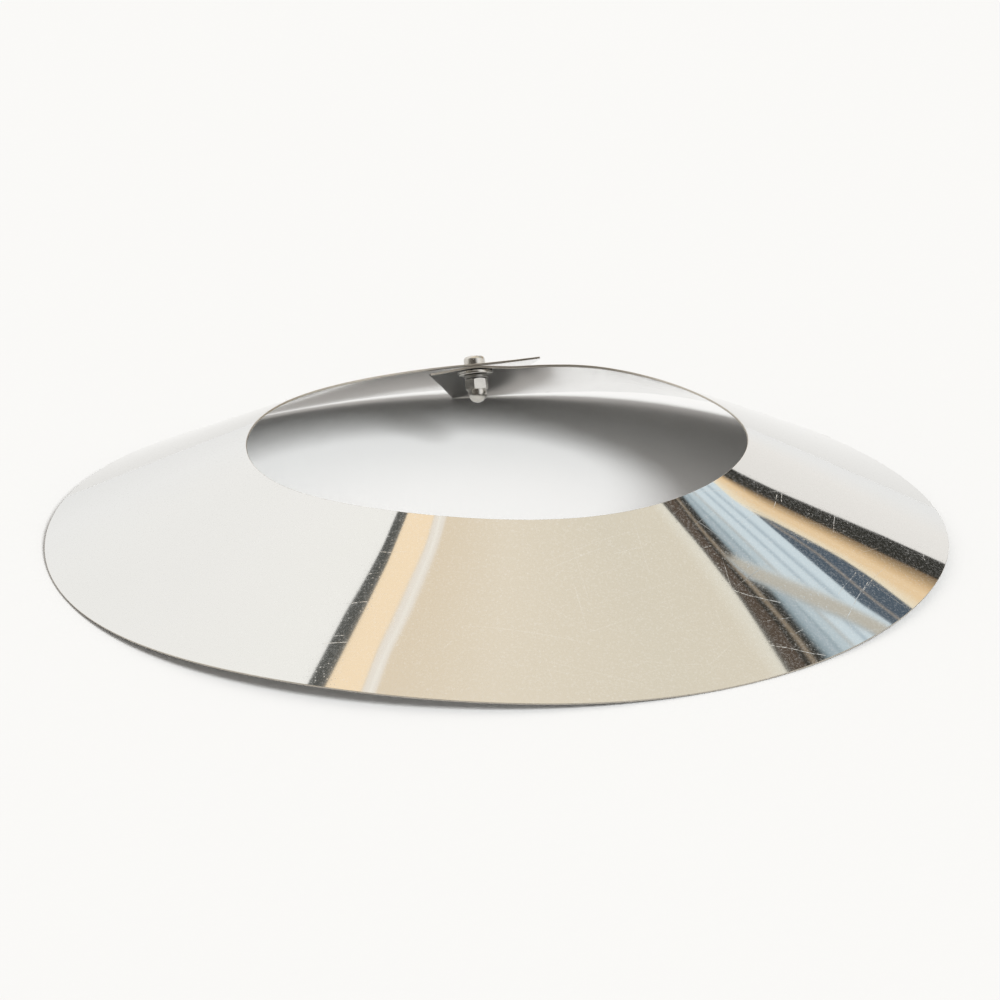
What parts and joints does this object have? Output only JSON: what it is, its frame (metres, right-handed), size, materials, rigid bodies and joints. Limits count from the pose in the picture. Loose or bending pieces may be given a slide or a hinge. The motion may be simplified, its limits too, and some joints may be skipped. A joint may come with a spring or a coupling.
{
  "type": "ceiling rosette",
  "caption": "Split conical cover ring of thin bright steel sheet round a pipe hole, its lapped ends held by a small screw with washers and a cap nut.",
  "frame": {"origin": "middle of the pipe hole, on the plane that the wide rim lies on", "axes": "+Z along the middle of the pipe hole, from the wide rim to the narrow one; +Y towards the lap, -Y towards the viewer of the picture; +X to the viewer's right"},
  "size_m": [0.2297, 0.231, 0.0304],
  "materials": {
    "bright_sheet": "polished",
    "fastener_steel": "gloss",
    "spring_steel": "satin"
  },
  "bodies": {
    "root": {"rosette_sheet": "bright_sheet", "lap_screw": "fastener_steel", "flat_washer": "fastener_steel", "spring_washer": "spring_steel", "cap_nut": "fastener_steel"}
  },
  "joints": []
}
